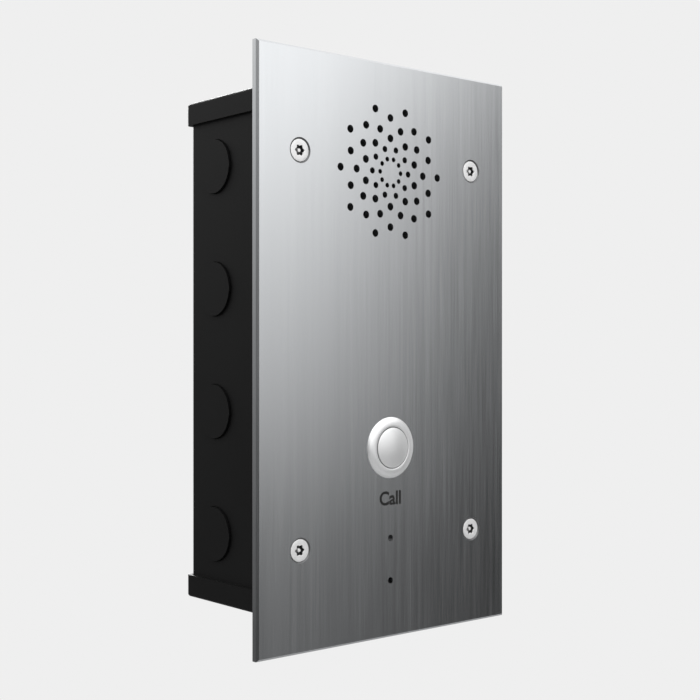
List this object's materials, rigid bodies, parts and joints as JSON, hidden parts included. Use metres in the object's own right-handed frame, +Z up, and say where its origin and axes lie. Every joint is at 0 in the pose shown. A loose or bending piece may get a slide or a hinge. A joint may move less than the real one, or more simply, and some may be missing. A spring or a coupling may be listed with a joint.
{
  "type": "flush door intercom panel",
  "caption": "Flush wall intercom: brushed steel plate with speaker holes, domed call button, call light and microphone, on a black sheet steel back box with knockouts.",
  "frame": {"origin": "middle of the front panel, on the plane of its rear face, which is the wall's surface", "axes": "+Z up, +X to the right as seen from the street, +Y into the wall"},
  "size_m": [0.1316, 0.0713, 0.23],
  "materials": {
    "panel_steel": "brushed stainless",
    "button_steel": "satin turned stainless",
    "screw_steel": "bright stainless",
    "zinc_steel": "zinc plated",
    "weld_studs": "copper flashed",
    "brass": "plain",
    "contacts": "gold or tin flashed",
    "black_paint": "satin powder coat",
    "foam": "closed cell foam",
    "rubber": "moulded",
    "membrane": "fine black mesh",
    "cone_paper": "pressed pulp",
    "spider_cloth": "varnished cloth",
    "basket_steel": "plated pressing",
    "ferrite": "ground ferrite",
    "coil_wire": "enamelled copper",
    "spring_steel": "drawn wire",
    "nylon": "natural nylon",
    "switch_plastic": "moulded black",
    "lens": "clear light guide",
    "mic_can": "drawn can",
    "board": "green solder mask",
    "jack_shield": "tinned screen",
    "terminal_green": "moulded green",
    "transformer": "ferrite and tape",
    "relay_case": "moulded blue",
    "capacitor": "sleeved can",
    "chip": "moulded epoxy",
    "lead_insulation": "coloured insulation"
  },
  "bodies": {
    "back_box": {"box_body": "black_paint", "top_cap": "black_paint", "bottom_cap": "black_paint", "knockout_slugs": "black_paint", "nut_plates": "zinc_steel", "ground_stud": "brass"},
    "front_panel": {"acoustic_membrane": "membrane", "board_posts": "brass", "board_screws": "zinc_steel", "button_body": "button_steel", "button_leads": "lead_insulation", "button_nut": "zinc_steel", "button_seal": "rubber", "button_terminals": "contacts", "button_washer": "zinc_steel", "call_light": "lens", "capacitors": "capacitor", "chips": "chip", "cone_surround": "rubber", "contact_block": "switch_plastic", "face_plate": "panel_steel", "header_pins": "contacts", "jack_contacts": "contacts", "lead_plugs": "nylon", "lead_sockets": "nylon", "light_pipe": "lens", "magnet_yoke": "basket_steel", "main_board": "board", "mic_boot": "rubber", "mic_capsule": "mic_can", "network_jack": "jack_shield", "panel_screws": "screw_steel", "perimeter_gasket": "foam", "relay": "relay_case", "reset_switch": "switch_plastic", "return_spring": "spring_steel", "screw_retainers": "nylon", "sensor_board": "board", "sensor_leads": "lead_insulation", "sensor_studs": "weld_studs", "speaker_basket": "basket_steel", "speaker_clamps": "zinc_steel", "speaker_gasket": "foam", "speaker_leads": "lead_insulation", "speaker_magnet": "ferrite", "speaker_studs": "weld_studs", "speaker_terminals": "contacts", "spider": "spider_cloth", "stud_nuts": "zinc_steel", "terminal_header": "terminal_green", "top_plate": "basket_steel", "transformer": "transformer"},
    "call_button": {"button_cap": "button_steel", "cap_ring": "rubber"},
    "cone": {"speaker_cone": "cone_paper", "dust_cap": "cone_paper", "voice_coil": "coil_wire"},
    "wire_plug": {"terminal_plug": "terminal_green", "terminal_screws": "zinc_steel"},
    "reset": {"reset_key": "switch_plastic"}
  },
  "joints": [
    {"name": "panel_removal", "type": "slide", "parent": "back_box", "child": "front_panel", "axis": [0, -1, 0], "range_m": [0, 0.12]},
    {"name": "call_press", "type": "slide", "parent": "front_panel", "child": "call_button", "axis": [0, 1, 0], "range_m": [0, 0.002], "stiffness_N_per_m": 1200, "springref_m": -0.002, "deforming": ["return_spring"]},
    {"name": "cone_travel", "type": "slide", "parent": "front_panel", "child": "cone", "axis": [0, -1, 0], "range_m": [-0.0005, 0.0005], "stiffness_N_per_m": 1500, "deforming": ["cone_surround", "spider"]},
    {"name": "plug_pull", "type": "slide", "parent": "front_panel", "child": "wire_plug", "axis": [0, 1, 0], "range_m": [0, 0.012]},
    {"name": "reset_press", "type": "slide", "parent": "front_panel", "child": "reset", "axis": [0, -1, 0], "range_m": [0, 0.00025], "stiffness_N_per_m": 4000, "springref_m": -0.00025}
  ]
}
